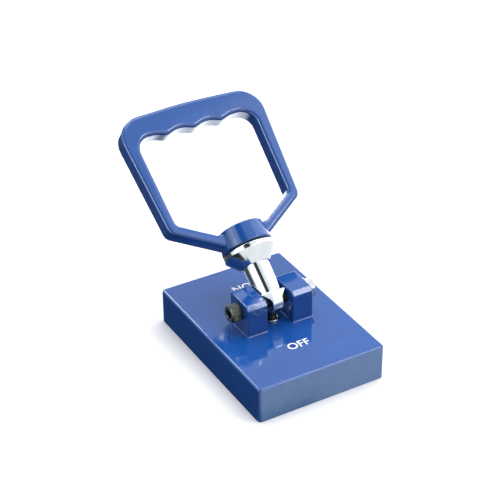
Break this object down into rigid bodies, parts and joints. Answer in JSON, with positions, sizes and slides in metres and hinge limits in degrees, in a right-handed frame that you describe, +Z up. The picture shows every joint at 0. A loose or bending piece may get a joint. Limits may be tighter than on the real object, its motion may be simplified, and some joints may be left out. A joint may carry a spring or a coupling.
{
  "type": "magnetic holder",
  "caption": "Hand-held magnetic holder: a flat blue magnet block with a tilting ON/OFF D-handle on two bolted ears and a sprung release plunger.",
  "frame": {"origin": "on the surface the holder stands on, below the middle of its overall length and width", "axes": "+Z up from the magnet face; +Y towards the ON side, where the handle leans at rest; +X along the cross bolt, towards its nut"},
  "size_m": [0.115, 0.1972, 0.1438],
  "materials": {
    "blue_enamel": "glossy blue enamel over metal, with soft rounded edges",
    "ground_steel": "ground bare steel, fine straight grain",
    "ferrite": "dull dark grey sintered magnet",
    "brass_filler": "brushed brass",
    "zinc_plate": "bright zinc plate",
    "black_oxide": "black oxide steel with a faint oily sheen",
    "chrome": "polished chrome plate",
    "black_rubber": "matt black rubber"
  },
  "bodies": {
    "base": {"housing": "blue_enamel", "yoke_plate": "ground_steel", "pole_bar_left": "ground_steel", "pole_bar_mid": "ground_steel", "pole_bar_right": "ground_steel", "magnet_1": "ferrite", "magnet_2": "ferrite", "magnet_3": "ferrite", "magnet_4": "ferrite", "filler_strip_1": "brass_filler", "filler_strip_2": "brass_filler", "filler_strip_3": "brass_filler", "filler_strip_4": "brass_filler", "pole_screw_1": "zinc_plate", "pole_screw_2": "zinc_plate", "pole_screw_3": "zinc_plate", "pole_screw_4": "zinc_plate", "pole_screw_5": "zinc_plate", "pole_screw_6": "zinc_plate", "ear_left": "blue_enamel", "ear_right": "blue_enamel", "ear_screw_1": "zinc_plate", "ear_screw_2": "zinc_plate", "ear_screw_3": "zinc_plate", "ear_screw_4": "zinc_plate", "plunger_bush": "zinc_plate", "return_spring": "ground_steel", "pivot_bolt": "black_oxide", "pivot_washer": "zinc_plate", "pivot_nut": "zinc_plate"},
    "release_plunger": {"plunger": "black_oxide"},
    "tilting_handle": {"shank": "chrome", "gasket_ring": "black_rubber", "handle": "blue_enamel", "handle_washer": "zinc_plate", "handle_screw": "black_oxide"}
  },
  "joints": [
    {"name": "handle_tilt", "type": "hinge", "parent": "base", "child": "tilting_handle", "pos_m": [0, -0.03089, 0.0423], "axis": [1, 0, 0], "range_deg": [0, 105]},
    {"name": "plunger_slide", "type": "slide", "parent": "base", "child": "release_plunger", "axis": [0, 0, -1], "range_m": [0, 0.003], "deforming": ["return_spring"]}
  ],
  "couplings": [
    {"joint": "plunger_slide", "follows": "handle_tilt", "m_per_rad": 0.001637}
  ]
}
